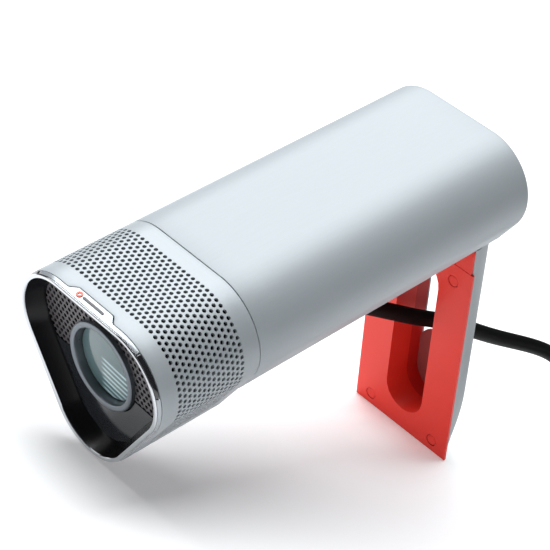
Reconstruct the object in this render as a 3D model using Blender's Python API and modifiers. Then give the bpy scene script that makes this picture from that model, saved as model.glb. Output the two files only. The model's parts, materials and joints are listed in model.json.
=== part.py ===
"""Video-conference camera: a tubular body with a microphone sleeve, a hooded lens
with a privacy shutter, a fold-out stand and an attached cable.

Lengths are in metres. The camera is modelled in its own body frame: +X right, +Y from
the front rim to the rear, z = 0 at the flat top. One empty then tips that frame
nose-down, so that the rim and the stand's foot both rest on the surface at z = 0.
"""
import math

import bmesh
import bpy
import numpy as np
from mathutils import Matrix

# --- driving dimensions -------------------------------------------------------
MM = 0.001
GAP = 0.3 * MM                     # clearance between neighbouring pieces
MERGE = 0.00001                    # merge distance of every modifier

# Cross-section: the hull of three equal circles, two at the top and one at the keel.
LOBE_R = 21.8 * MM
LOBE_X = 16.4 * MM                 # centres of the two top circles
KEEL_Z = -47.1 * MM                # centre of the keel circle
ARC_STEPS = 9

BODY_LENGTH = 181.9 * MM
SEAM_Y = 45.9 * MM                 # joint between the front sleeve and the rear shell
TRIM_END_Y = 3.8 * MM              # rear edge of the rim trim
FLAT_Z = -45.0 * MM                # flat underside of the rear body
SKIN = 1.5 * MM                    # wall of the sleeve and the rear shell
RIM_WALL = 2.5 * MM
EDGE_ROUND = 0.5 * MM

# Lens group, on an axis parallel to Y.
LENS_Z = -30.8 * MM
BAFFLE_Y = 7.4 * MM
BAFFLE_THICK = 1.6 * MM
HOOD_INSET = 5.2 * MM              # the hood's inner edge at the baffle
MESH_FOOT_Z = -33.5 * MM           # lower edge of the front microphone mesh
RING_R = 17.3 * MM
RING_BORE_R = 14.8 * MM
WINDOW_R = 13.6 * MM
WINDOW_Y = 11.2 * MM
SHUTTER_Y = 15.2 * MM
SHUTTER_ARM = 16.0 * MM            # shutter pivot below the lens axis
SHUTTER_R = 8.6 * MM
SHUTTER_OPEN = math.radians(70.0)

# Stand: a leg that completes the keel when folded. Modelled folded, shown open.
FACE_Z = FLAT_Z - GAP              # red face of the folded leg
HINGE_DROP = 5.0 * MM              # hinge axis below that face
HINGE_Y = 173.4 * MM
HINGE_Z = FACE_Z - HINGE_DROP
LEG_OPEN = math.radians(88.75)
LEG_REACH = 110.0 * MM             # hinge axis to the foot's edge
LEG_SEAM = 8.8 * MM                # hinge axis to the seam of the hinge block
LEG_REAR = 3.5 * MM                # leg shell behind the hinge axis
PANEL_THICK = 1.0 * MM
BOW_LENGTH = 22.0 * MM             # stretch over which the keel rises to the foot
SLOT_HALF = 10.5 * MM
SLOT_NEAR = 15.7 * MM              # slot ends, measured from the hinge axis
SLOT_FAR = 99.7 * MM
LINER_DEPTH = 12.0 * MM
LUG_HALF = 8.5 * MM

# Cable.
CABLE_R = 3.5 * MM
GLAND_Y = 97.6 * MM                # where the cable's line crosses the underside
GLAND_SLOPE = math.radians(37.4)   # below the body's axis
GLAND_OUT = 24.0 * MM
# Hand-chosen route in the resting frame, from the gland to the coil.
CABLE_ROUTE = [
    (0.000, 0.0134, 0.0643), (0.000, 0.0285, 0.0620), (0.000, 0.0494, 0.0590),
    (0.000, 0.0755, 0.0553), (0.000, 0.1034, 0.0520), (0.000, 0.1420, 0.0448),
    (0.000, 0.1814, 0.0385), (0.000, 0.2020, 0.0335), (-0.0008, 0.2220, 0.0252),
    (-0.0042, 0.2400, 0.0158), (-0.0071, 0.2554, 0.0094),
]
COIL_TURN_R = 35.0 * MM            # middle of the turns
COIL_HALF = 10.5 * MM              # three turns across
COIL_HEIGHT = 14.0 * MM            # two turns high
COIL_X = 34.0 * MM
COIL_Y = 283.0 * MM
COIL_LIFT = 1.2 * MM               # the tie passes underneath
PLUG_Z = 22.6 * MM                 # the plug lies on the coil
TAIL_DROP = 3.6 * MM               # the tail's start, below the plug
TIE_THICK = 0.9 * MM
PLUG_HALF = 18.0 * MM
PLUG_LENGTH = 26.0 * MM
PLUG_HALF_HIGH = 7.0 * MM
BOOT_LENGTH = 16.0 * MM
SCREW_OUT = 14.5 * MM
WINDOW_LOW, WINDOW_HIGH = 17.0, 61.0   # sensor windows, degrees up the corner
TAIL_BEND = 28.0 * MM              # the tail bends over the coil to the plug
TAIL_Y = 269.0 * MM

SETBACK = 118.0 * MM               # front rim to the middle of the footprint

# Pitch that brings the rim's lowest edge and the foot's edge to one level.
NOSE_Z = KEEL_Z - LOBE_R
FOOT_Y = HINGE_Y - HINGE_DROP * math.sin(LEG_OPEN) - LEG_REACH * math.cos(LEG_OPEN)
FOOT_Z = HINGE_Z + HINGE_DROP * math.cos(LEG_OPEN) - LEG_REACH * math.sin(LEG_OPEN)
PITCH = math.atan2(NOSE_Z - FOOT_Z, FOOT_Y)
LIFT = -NOSE_Z * math.cos(PITCH)


# --- scene, collections and materials -----------------------------------------
def clear_scene():
    for obj in list(bpy.data.objects):
        bpy.data.objects.remove(obj, do_unlink=True)


def new_collection(name):
    found = bpy.data.collections.get(name)
    if found is None:
        found = bpy.data.collections.new(name)
        bpy.context.scene.collection.children.link(found)
    return found


def finish_material(name, colour, roughness, metallic=0.0):
    mat = bpy.data.materials.new(name)
    mat.use_nodes = True
    shader = mat.node_tree.nodes["Principled BSDF"]
    shader.inputs["Base Color"].default_value = (*colour, 1.0)
    shader.inputs["Roughness"].default_value = roughness
    shader.inputs["Metallic"].default_value = metallic
    mat.diffuse_color = (*colour, 1.0)
    return mat


clear_scene()
PARTS = new_collection("conference_camera")
CUTTERS = new_collection("cutters")

SILVER = finish_material("satin_silver", (0.72, 0.75, 0.78), 0.38, 0.6)
CHROME = finish_material("chrome_trim", (0.82, 0.83, 0.85), 0.12, 1.0)
BLACK_GLOSS = finish_material("black_gloss", (0.012, 0.012, 0.014), 0.08)
BLACK_MATT = finish_material("black_matt", (0.02, 0.02, 0.022), 0.6)
GREY_METAL = finish_material("grey_metal", (0.36, 0.38, 0.42), 0.35, 0.8)
GLASS = finish_material("coated_glass", (0.35, 0.48, 0.5), 0.05)
RED = finish_material("red_plastic", (0.83, 0.08, 0.06), 0.25)
STEEL = finish_material("steel", (0.6, 0.6, 0.62), 0.3, 1.0)
BOARD = finish_material("circuit_board", (0.03, 0.2, 0.09), 0.5)
RUBBER = finish_material("cable_black", (0.015, 0.015, 0.016), 0.5)


# --- shape helpers ------------------------------------------------------------
def add_empty(name, location, rotation_x, parent=None):
    empty = bpy.data.objects.new(name, None)
    CUTTERS.objects.link(empty)
    empty.parent = parent
    empty.location = location
    empty.rotation_euler = (rotation_x, 0.0, 0.0)
    return empty


def place(obj, parent=None, material=None, location=None, rotation=None):
    """Puts an object in the parts or, without a material, among the cutters."""
    for coll in list(obj.users_collection):
        coll.objects.unlink(obj)
    if material is None:
        CUTTERS.objects.link(obj)
        obj.hide_render = True
        obj.display_type = "WIRE"
    else:
        PARTS.objects.link(obj)
        obj.data.materials.clear()
        obj.data.materials.append(material)
    obj.parent = parent
    if location is not None:
        obj.location = location
    if rotation is not None:
        obj.rotation_euler = rotation
    return obj


def mesh_object(name, bm, smooth_angle=35.0):
    bmesh.ops.recalc_face_normals(bm, faces=bm.faces)
    mesh = bpy.data.meshes.new(name)
    bm.to_mesh(mesh)
    bm.free()
    mesh.shade_smooth()
    mesh.set_sharp_from_angle(angle=math.radians(smooth_angle))
    return bpy.data.objects.new(name, mesh)


def arc(cx, cz, radius, start_deg, end_deg, steps=ARC_STEPS):
    """Points of an arc in the X-Z plane, from one angle to another."""
    turn = np.radians(np.linspace(start_deg, end_deg, steps + 1))
    return [(cx + radius * math.cos(a), cz + radius * math.sin(a)) for a in turn]


def section(inset=0.0):
    """The body's cross-section, moved inwards by inset, as one closed outline."""
    radius = LOBE_R - inset
    side = math.degrees(math.atan2(-LOBE_X, -(KEEL_Z + LOBE_R)))
    points = arc(LOBE_X, -LOBE_R, radius, 90.0, side)
    points += arc(0.0, KEEL_Z, radius, side, -180.0 - side, ARC_STEPS + 1)
    points += arc(-LOBE_X, -LOBE_R, radius, -180.0 - side, -270.0)
    return points


def half_width(z, inset=0.0):
    """Half the section's width on its straight lower sides."""
    side = math.atan2(-LOBE_X, -(KEEL_Z + LOBE_R))
    reach = (LOBE_R - inset) / math.cos(side)
    return LOBE_X + reach + (z + LOBE_R) * math.tan(-side)


def sweep_band(name, profile):
    """The section carried round a closed profile of (y, inset) points: one ring."""
    bm = bmesh.new()
    rings = [[bm.verts.new((x, y, z)) for x, z in section(inset)] for y, inset in profile]
    count = len(rings[0])
    for ring, after in zip(rings, rings[1:] + rings[:1]):
        for i in range(count):
            j = (i + 1) % count
            bm.faces.new((ring[i], ring[j], after[j], after[i]))
    return mesh_object(name, bm)


def flat_curve(name, outlines, thickness):
    """A flat outline, with any holes, as a 2D curve of the given thickness."""
    curve = bpy.data.curves.new(name, "CURVE")
    curve.dimensions = "2D"
    curve.fill_mode = "BOTH"
    curve.extrude = thickness / 2.0
    for outline in outlines:
        spline = curve.splines.new("POLY")
        spline.points.add(len(outline) - 1)
        for point, (a, b) in zip(spline.points, outline):
            point.co = (a, b, 0.0, 1.0)
        spline.use_cyclic_u = True
    return bpy.data.objects.new(name, curve)


def as_mesh(obj):
    """Turns a curve object into a welded mesh object in the same place."""
    CUTTERS.objects.link(obj)
    bpy.context.view_layer.update()
    graph = bpy.context.evaluated_depsgraph_get()
    mesh = bpy.data.meshes.new_from_object(obj.evaluated_get(graph))
    matrix = obj.matrix_world.copy()
    name = obj.name
    bpy.data.objects.remove(obj, do_unlink=True)
    bm = bmesh.new()
    bm.from_mesh(mesh)
    bmesh.ops.remove_doubles(bm, verts=bm.verts, dist=MERGE)
    bmesh.ops.recalc_face_normals(bm, faces=bm.faces)
    bm.to_mesh(mesh)
    bm.free()
    made = bpy.data.objects.new(name, mesh)
    made.matrix_world = matrix
    return made


def plate_xz(name, outlines, y_front, y_rear):
    """A plate whose outline lies in the X-Z plane, between two depths."""
    made = as_mesh(flat_curve(name, outlines, y_rear - y_front))
    made.data.transform(Matrix.Rotation(math.pi / 2.0, 4, "X"))
    made.data.transform(Matrix.Translation((0.0, (y_front + y_rear) / 2.0, 0.0)))
    return made


def plate_xy(name, outlines, z_low, z_high):
    """A plate whose outline lies in the X-Y plane, between two heights."""
    made = as_mesh(flat_curve(name, outlines, z_high - z_low))
    made.data.transform(Matrix.Translation((0.0, 0.0, (z_low + z_high) / 2.0)))
    return made


def turned(name, profile, steps=32):
    """A profile of (radius, depth) turned about the Y axis, front edge first."""
    bm = bmesh.new()
    verts = [bm.verts.new((radius, 0.0, -depth)) for radius, depth in profile]
    closed = profile[0][0] > 0.0
    for a, b in zip(verts, verts[1:] + (verts[:1] if closed else [])):
        bm.edges.new((a, b))
    mesh = bpy.data.meshes.new(name)
    bm.to_mesh(mesh)
    bm.free()
    obj = bpy.data.objects.new(name, mesh)
    screw = obj.modifiers.new("turn", "SCREW")
    screw.steps = steps
    screw.render_steps = steps
    screw.use_merge_vertices = True
    screw.merge_threshold = MERGE
    screw.use_smooth_shade = True
    obj.rotation_euler = (math.pi / 2.0, 0.0, 0.0)
    return obj


def box(name, low, high):
    bm = bmesh.new()
    bmesh.ops.create_cube(bm, size=1.0)
    size = [b - a for a, b in zip(low, high)]
    middle = [(a + b) / 2.0 for a, b in zip(low, high)]
    bmesh.ops.scale(bm, verts=bm.verts, vec=size)
    bmesh.ops.translate(bm, verts=bm.verts, vec=middle)
    return mesh_object(name, bm)


def rod_x(name, radius, x_low, x_high, y=0.0, z=0.0, sides=24):
    """A cylinder along X."""
    bm = bmesh.new()
    bmesh.ops.create_cone(bm, cap_ends=True, segments=sides, radius1=radius, radius2=radius,
                          depth=x_high - x_low)
    bmesh.ops.rotate(bm, verts=bm.verts, matrix=Matrix.Rotation(math.pi / 2.0, 3, "Y"))
    bmesh.ops.translate(bm, verts=bm.verts, vec=((x_low + x_high) / 2.0, y, z))
    return mesh_object(name, bm)


def rod_z(name, radius, x, y, z_low, z_high, sides=20):
    """A cylinder along Z."""
    bm = bmesh.new()
    bmesh.ops.create_cone(bm, cap_ends=True, segments=sides, radius1=radius, radius2=radius,
                          depth=z_high - z_low)
    bmesh.ops.translate(bm, verts=bm.verts, vec=(x, y, (z_low + z_high) / 2.0))
    return mesh_object(name, bm)


def combine(target, tool, operation):
    """A Boolean with a tool object, which is left among the cutters."""
    modifier = target.modifiers.new(operation.lower(), "BOOLEAN")
    modifier.operation = operation
    modifier.solver = "EXACT"
    modifier.object = tool
    return target


def bevel(obj, width, segments=2):
    modifier = obj.modifiers.new("edge", "BEVEL")
    modifier.width = width
    modifier.segments = segments
    modifier.limit_method = "ANGLE"
    modifier.angle_limit = math.radians(40.0)
    return obj


def stadium(half, y_low, y_high, steps=10):
    """A slot outline along Y with round ends."""
    top = arc(0.0, y_high - half, half, 0.0, 180.0, steps)
    bottom = arc(0.0, y_low + half, half, 180.0, 360.0, steps)
    return top + bottom


def circle(cx, cz, radius, steps=32):
    return arc(cx, cz, radius, 0.0, 360.0 - 360.0 / steps, steps - 1)


def smooth_route(points, spacing):
    """Even points on a Catmull-Rom curve through the given ones."""
    given = np.array(points)
    ends = np.vstack([2 * given[0] - given[1], given, 2 * given[-1] - given[-2]])
    fine = []
    for k in range(1, len(ends) - 2):
        a, b, c, d = ends[k - 1], ends[k], ends[k + 1], ends[k + 2]
        for t in np.linspace(0.0, 1.0, 20, endpoint=False):
            fine.append(0.5 * (2 * b + (c - a) * t + (2 * a - 5 * b + 4 * c - d) * t ** 2
                               + (3 * b - a - 3 * c + d) * t ** 3))
    fine = np.array(fine + [given[-1]])
    run = np.concatenate([[0.0], np.cumsum(np.linalg.norm(np.diff(fine, axis=0), axis=1))])
    stations = np.linspace(0.0, run[-1], max(2, int(round(run[-1] / spacing)) + 1))
    return [tuple(np.interp(s, run, fine[:, k]) for k in range(3)) for s in stations]


def tube(name, points, radius):
    curve = bpy.data.curves.new(name, "CURVE")
    curve.dimensions = "3D"
    curve.bevel_depth = radius
    curve.bevel_resolution = 3
    curve.use_fill_caps = True
    spline = curve.splines.new("POLY")
    spline.points.add(len(points) - 1)
    for point, co in zip(spline.points, points):
        point.co = (*co, 1.0)
    return bpy.data.objects.new(name, curve)


FRAME = add_empty("camera_frame", (0.0, -SETBACK, LIFT), PITCH)
HINGE = add_empty("leg_hinge", (0.0, HINGE_Y, HINGE_Z), LEG_OPEN, FRAME)
LENS_AXIS = add_empty("lens_axis", (0.0, 0.0, LENS_Z), 0.0, FRAME)
SHUTTER_AXIS = add_empty("shutter_axis", (0.0, 0.0, LENS_Z - SHUTTER_ARM), 0.0, FRAME)
TURNED = (math.pi / 2.0, 0.0, 0.0)
BEHIND_HINGE = (0.0, -HINGE_Y, -HINGE_Z)


# --- outer casing ---------------------------------------------------------------
def sensor_outline(grow):
    """The strip of the rim's corner that holds a dark sensor window."""
    deep = RIM_WALL - 1.3 * MM
    widen = math.degrees(grow / LOBE_R)
    low, high = WINDOW_LOW - widen, WINDOW_HIGH + widen
    outer_r = LOBE_R + grow if grow > 0.0 else LOBE_R - 0.02 * MM
    return (arc(LOBE_X, -LOBE_R, outer_r, high, low)
            + arc(LOBE_X, -LOBE_R, LOBE_R - deep - grow, low, high))


def make_rim():
    """Chrome-edged rim, with a name tab on top and pockets for the sensor windows."""
    r = EDGE_ROUND
    profile = [(0.0, r), (r * 0.3, r * 0.3), (r, 0.0), (TRIM_END_Y, 0.0),
               (TRIM_END_Y, RIM_WALL), (r, RIM_WALL), (r * 0.3, RIM_WALL - r * 0.3),
               (0.0, RIM_WALL - r)]
    rim = place(sweep_band("rim_trim", profile), FRAME, CHROME)
    tab = [(12.7 * MM, 3.0 * MM), (12.0 * MM, 3.9 * MM), (10.2 * MM, 4.6 * MM),
           (9.2 * MM, 5.8 * MM), (8.3 * MM, 6.3 * MM)]
    tab += [(-x, y) for x, y in reversed(tab)]
    tab_solid = place(plate_xy("tab_tool", [tab], -0.8 * MM, -0.02 * MM), FRAME)
    combine(rim, tab_solid, "UNION")
    for side, sign in (("left", -1.0), ("right", 1.0)):
        pocket = plate_xz("pocket_" + side, [[(sign * x, z) for x, z in sensor_outline(GAP)]],
                          1.5 * MM - GAP, TRIM_END_Y + GAP)
        combine(rim, place(pocket, FRAME), "DIFFERENCE")
        window = plate_xz("sensor_window_" + side,
                          [[(sign * x, z) for x, z in sensor_outline(0.0)]],
                          1.5 * MM, TRIM_END_Y - 0.1 * MM)
        place(window, FRAME, BLACK_GLOSS)
    return rim


def make_front_sleeve():
    start = TRIM_END_Y + GAP
    end = SEAM_Y - GAP / 2.0
    profile = [(start, 0.0), (end - 0.4 * MM, 0.0), (end, 0.4 * MM), (end, SKIN), (start, SKIN)]
    sleeve = place(sweep_band("front_sleeve", profile), FRAME, SILVER)
    notch = [(13.6 * MM, 2.0 * MM), (12.4 * MM, 4.3 * MM), (10.6 * MM, 5.0 * MM),
             (9.5 * MM, 6.2 * MM), (8.5 * MM, 6.7 * MM)]
    notch += [(-x, y) for x, y in reversed(notch)]
    cutter = place(plate_xy("tab_notch", [notch], -3.0 * MM, 2.0 * MM), FRAME)
    combine(sleeve, cutter, "DIFFERENCE")
    liner_in = SKIN + GAP
    liner = [(10.0 * MM, liner_in), (41.0 * MM, liner_in), (41.0 * MM, liner_in + 0.6 * MM),
             (10.0 * MM, liner_in + 0.6 * MM)]
    place(sweep_band("sleeve_liner", liner), FRAME, BLACK_MATT)


def make_bulkhead():
    """The wall that closes the sleeve's keel where the flat underside begins."""
    wall = plate_xz("keel_bulkhead", [section(SKIN + GAP)], SEAM_Y - 2.0 * MM, SEAM_Y - GAP)
    place(wall, FRAME, SILVER)
    above = box("bulkhead_cut", (-LOBE_R * 2, 0.0, FLAT_Z + 2.0 * MM), (LOBE_R * 2, SEAM_Y * 2, LOBE_R))
    combine(wall, place(above, FRAME), "DIFFERENCE")


def make_rear_shell():
    start = SEAM_Y + GAP / 2.0
    end = BODY_LENGTH
    profile = [(start + 0.3 * MM, 0.0), (end - 1.6 * MM, 0.0), (end - 0.5 * MM, 0.5 * MM),
               (end, 1.6 * MM), (end, 3.4 * MM), (end - 1.2 * MM, 3.4 * MM),
               (end - 1.2 * MM, SKIN), (start, SKIN), (start, 0.3 * MM)]
    shell = place(sweep_band("rear_shell", profile), FRAME, SILVER)
    keel = box("keel_cut", (-0.1, 0.0, -0.1), (0.1, 0.3, FLAT_Z))
    combine(shell, place(keel, FRAME), "DIFFERENCE")
    cap = place(plate_xz("rear_cap", [section(3.4 * MM + GAP)], end - 2.2 * MM, end - 0.4 * MM),
                FRAME, BLACK_MATT)
    combine(cap, place(box("cap_cut", (-0.1, 0.0, -0.1), (0.1, 0.3, FLAT_Z + 2.6 * MM)), FRAME),
            "DIFFERENCE")


def make_underside():
    """Flat floor of the rear body, with the gland's hole and four screws."""
    half = half_width(FLAT_Z, SKIN) - 2 * GAP
    start, end = SEAM_Y + GAP, BODY_LENGTH - 3.6 * MM
    outline = [(-half, start), (half, start), (half, end), (-half, end)]
    floor = place(plate_xy("underside_panel", [outline], FLAT_Z, FLAT_Z + 1.9 * MM), FRAME,
                  BLACK_MATT)
    hole = gland_tool("gland_hole", 6.2 * MM + 2 * GAP)
    combine(floor, hole, "DIFFERENCE")
    for number, (sx, y) in enumerate([(-1, 60.0), (1, 60.0), (-1, 150.0), (1, 150.0)], 1):
        x = sx * 18.0 * MM
        head = place(rod_z("underside_screw_%d" % number, 2.4 * MM, x, y * MM,
                           FLAT_Z + 0.3 * MM, FLAT_Z + 5.0 * MM), FRAME, STEEL)
        combine(floor, place(rod_z("screw_hole_%d" % number, 2.4 * MM + GAP, x, y * MM,
                                   FLAT_Z - MM, FLAT_Z + 6.0 * MM), FRAME), "DIFFERENCE")
        bevel(head, 0.3 * MM, 1)


# --- cable gland -----------------------------------------------------------------
def along_gland(obj, material=None):
    """Stands a turned piece on the gland's slanted axis; depth 0 is at the underside."""
    return place(obj, FRAME, material, (0.0, GLAND_Y, FLAT_Z), (math.pi / 2.0 - GLAND_SLOPE, 0.0, 0.0))


def gland_tool(name, radius):
    tool = turned(name, [(0.0, -20 * MM), (radius, -20 * MM), (radius, 20 * MM), (0.0, 20 * MM)], 24)
    return along_gland(tool)


def make_gland():
    profile = [(0.0, -7.0 * MM), (6.2 * MM, -7.0 * MM), (6.2 * MM, 9.0 * MM), (5.6 * MM, 11.0 * MM),
               (4.5 * MM, GLAND_OUT), (0.0, GLAND_OUT)]
    along_gland(turned("cable_gland", profile, 24), RUBBER)


# --- lens group --------------------------------------------------------------------
def on_lens_axis(obj, material):
    return place(obj, LENS_AXIS, material, (0.0, 0.0, 0.0), TURNED)


def make_hood():
    """Black funnel from the rim back to the baffle."""
    wall = 1.2 * MM
    front, back = TRIM_END_Y + GAP, BAFFLE_Y + BAFFLE_THICK
    profile = [(front, SKIN + GAP * 2), (back, SKIN + GAP * 2), (back, HOOD_INSET - GAP),
               (BAFFLE_Y - GAP, HOOD_INSET - GAP), (front, RIM_WALL + wall * 0.3)]
    place(sweep_band("hood", profile), FRAME, BLACK_GLOSS)


def make_baffle():
    """The wall around the lens: microphone mesh above, plain gloss below."""
    hole = circle(0.0, LENS_Z, RING_R + 2 * GAP)
    outline = section(HOOD_INSET)
    mesh = place(plate_xz("front_mesh", [outline, hole], BAFFLE_Y + GAP, BAFFLE_Y + BAFFLE_THICK),
                 FRAME, BLACK_MATT)
    low = box("mesh_cut", (-0.1, 0.0, -0.1), (0.1, 0.1, MESH_FOOT_Z))
    combine(mesh, place(low, FRAME), "DIFFERENCE")
    lower = place(plate_xz("lower_baffle", [outline, hole], BAFFLE_Y, BAFFLE_Y + BAFFLE_THICK),
                  FRAME, BLACK_GLOSS)
    high = box("baffle_cut", (-0.1, 0.0, MESH_FOOT_Z - GAP), (0.1, 0.1, 0.1))
    combine(lower, place(high, FRAME), "DIFFERENCE")


def make_lens_ring():
    front, back = 5.6 * MM, 10.4 * MM
    profile = [(RING_R - 0.9 * MM, front), (RING_R, front + 0.7 * MM), (RING_R, back),
               (RING_BORE_R, back), (RING_BORE_R, front + 0.5 * MM), (RING_BORE_R + 0.5 * MM, front)]
    on_lens_axis(turned("lens_ring", profile, 48), GREY_METAL)


def make_lens_front():
    """Fixed parts behind the ring: shroud, window and its retainer."""
    back = 10.4 * MM + GAP
    profile = [(RING_R, back), (RING_R, 14.4 * MM), (WINDOW_R + GAP, 14.4 * MM),
               (WINDOW_R + GAP, WINDOW_Y), (WINDOW_R - 0.6 * MM, WINDOW_Y),
               (RING_BORE_R - GAP, back)]
    on_lens_axis(turned("lens_shroud", profile, 40), BLACK_GLOSS)
    front, rear = WINDOW_Y + GAP, WINDOW_Y + 1.5 * MM
    on_lens_axis(turned("lens_window", [(0.0, front), (WINDOW_R, front), (WINDOW_R, rear),
                                        (0.0, rear)], 40), GLASS)
    front, rear = WINDOW_Y + 1.5 * MM + GAP, 14.2 * MM
    on_lens_axis(turned("window_retainer", [(WINDOW_R, front), (WINDOW_R, rear),
                                            (WINDOW_R - 1.6 * MM, rear),
                                            (WINDOW_R - 1.6 * MM, front)], 32), BLACK_MATT)


def make_shutter():
    """Swinging privacy blade on a pin below the lens, parked to one side."""
    thick, arm, pin_r = 0.6 * MM, 2.4 * MM, 1.0 * MM
    join = math.degrees(math.asin(arm / SHUTTER_R))
    outline = arc(0.0, 0.0, arm, 180.0, 360.0, 8)
    outline += arc(0.0, SHUTTER_ARM, SHUTTER_R, join - 90.0, 270.0 - join, 20)
    bore = circle(0.0, 0.0, pin_r + 0.05 * MM, 16)
    blade = plate_xz("shutter_blade", [outline, bore], SHUTTER_Y, SHUTTER_Y + thick)
    place(blade, SHUTTER_AXIS, BLACK_MATT, rotation=(0.0, SHUTTER_OPEN, 0.0))
    collar_y = SHUTTER_Y + thick + GAP
    pin = turned("shutter_pin", [(0.0, SHUTTER_Y - 0.5 * MM), (pin_r, SHUTTER_Y - 0.5 * MM),
                                 (pin_r, collar_y), (1.8 * MM, collar_y),
                                 (1.8 * MM, collar_y + 2.5 * MM), (0.0, collar_y + 2.5 * MM)], 20)
    place(pin, SHUTTER_AXIS, STEEL, rotation=TURNED)


def make_camera_module():
    """Barrel, elements, holder and image sensor on its board."""
    barrel = [(9.2 * MM, 17.0 * MM), (11.0 * MM, 17.6 * MM), (11.0 * MM, 33.0 * MM),
              (8.0 * MM, 33.0 * MM), (8.0 * MM, 18.6 * MM)]
    on_lens_axis(turned("lens_barrel", barrel, 32), BLACK_MATT)
    front = [(0.0, 18.4 * MM), (4.5 * MM, 18.9 * MM), (7.6 * MM, 20.4 * MM), (7.6 * MM, 21.6 * MM),
             (0.0, 21.2 * MM)]
    on_lens_axis(turned("front_element", front, 24), GLASS)
    rear = [(0.0, 27.0 * MM), (7.2 * MM, 28.0 * MM), (7.2 * MM, 29.4 * MM), (0.0, 30.4 * MM)]
    on_lens_axis(turned("rear_element", rear, 24), GLASS)
    holder = [(9.4 * MM, 33.3 * MM), (12.0 * MM, 33.3 * MM), (12.0 * MM, 37.4 * MM),
              (7.0 * MM, 37.4 * MM), (7.0 * MM, 33.3 * MM)]
    on_lens_axis(turned("lens_holder", holder, 24), BLACK_MATT)
    sensor = box("image_sensor", (-5.0 * MM, 36.2 * MM, -3.6 * MM), (5.0 * MM, 37.4 * MM, 3.6 * MM))
    place(sensor, LENS_AXIS, BLACK_GLOSS)
    board = box("sensor_board", (-17 * MM, 37.7 * MM, -14 * MM), (17 * MM, 39.3 * MM, 14 * MM))
    place(board, LENS_AXIS, BOARD)


def make_microphones():
    """Four capsules under the perforated sleeve."""
    seats = [(-16.0, -6.0), (16.0, -6.0), (-28.5, -27.0), (28.5, -27.0)]
    for number, (x, z) in enumerate(seats, 1):
        capsule = turned("mic_capsule_%d" % number,
                         [(0.0, 22.0 * MM), (3.0 * MM, 22.0 * MM), (3.0 * MM, 26.0 * MM),
                          (0.0, 26.0 * MM)], 16)
        place(capsule, FRAME, STEEL, (x * MM, 0.0, z * MM), TURNED)


def make_electronics():
    tray = box("chassis_tray", (-20 * MM, 52 * MM, -33 * MM), (20 * MM, 150 * MM, -31.5 * MM))
    place(tray, FRAME, STEEL)
    board = box("main_board", (-22 * MM, 50 * MM, -27 * MM), (22 * MM, 160 * MM, -25.4 * MM))
    place(board, FRAME, BOARD)
    chip = box("video_processor", (-9 * MM, 80 * MM, -25.1 * MM), (9 * MM, 98 * MM, -23.4 * MM))
    place(chip, FRAME, BLACK_MATT)
    spreader = box("heat_spreader", (-18 * MM, 66 * MM, -23.1 * MM), (18 * MM, 124 * MM, -20.1 * MM))
    place(spreader, FRAME, GREY_METAL)


# --- stand -----------------------------------------------------------------------
def on_leg(obj, material=None):
    """Leg pieces are drawn where they lie when folded, under the hinge's empty."""
    return place(obj, HINGE, material, BEHIND_HINGE)


def keel_skin():
    """Open keel surface: the section below the rim, rising in a quarter ellipse at
    the foot, lofted along Y and thickened inwards."""
    rim_z = FACE_Z - PANEL_THICK - GAP
    side = math.degrees(math.atan2(-LOBE_X, -(KEEL_Z + LOBE_R)))
    top_z = rim_z + SKIN
    rim_x = half_width(top_z)
    outline = [(rim_x, top_z)] + arc(0.0, KEEL_Z, LOBE_R, side, -180.0 - side, 14)
    outline += [(-rim_x, top_z)]
    tip, end = HINGE_Y - LEG_REACH + 0.6 * MM, HINGE_Y + LEG_REAR
    bow = [BOW_LENGTH * (1.0 - math.cos(t)) for t in np.radians(np.linspace(12.0, 90.0, 8))]
    stations = [(tip + s - bow[0], math.sqrt(max(0.0, 1.0 - (1.0 - s / BOW_LENGTH) ** 2))) for s in bow]
    stations.append((end, 1.0))
    bm = bmesh.new()
    rows = [[bm.verts.new((x, y, rim_z + (z - rim_z) * rise)) for x, z in outline]
            for y, rise in stations]
    for row, after in zip(rows, rows[1:]):
        for a, b, c, d in zip(row, row[1:], after[1:], after):
            bm.faces.new((a, b, c, d))
    bm.faces.new(list(reversed(rows[0])))
    return mesh_object("leg_shell", bm)


def make_leg_shell():
    shell = on_leg(keel_skin(), SILVER)
    wall = shell.modifiers.new("wall", "SOLIDIFY")
    wall.thickness = SKIN
    wall.offset = -1.0
    rim_cut = box("rim_cut", (-0.1, 0.0, FACE_Z - PANEL_THICK - GAP), (0.1, 0.3, 0.1))
    combine(shell, on_leg(rim_cut), "DIFFERENCE")
    end = HINGE_Y + LEG_REAR
    cap = plate_xz("leg_end_cap", [section(SKIN * 0.5)], end - SKIN, end - 0.1 * MM)
    above = box("cap_above", (-0.1, 0.0, HINGE_Z - 8.0 * MM), (0.1, 0.3, 0.1))
    on_leg(cap)
    combine(cap, on_leg(above), "DIFFERENCE")
    combine(shell, cap, "UNION")
    slot = stadium(SLOT_HALF + 0.4 * MM, HINGE_Y - SLOT_FAR - 0.4 * MM,
                   HINGE_Y - SLOT_NEAR - 10 * MM)
    cutter = on_leg(plate_xy("shell_slot", [slot], KEEL_Z - 2 * LOBE_R, KEEL_Z - LOBE_R * 0.4))
    combine(shell, cutter, "DIFFERENCE")


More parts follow.
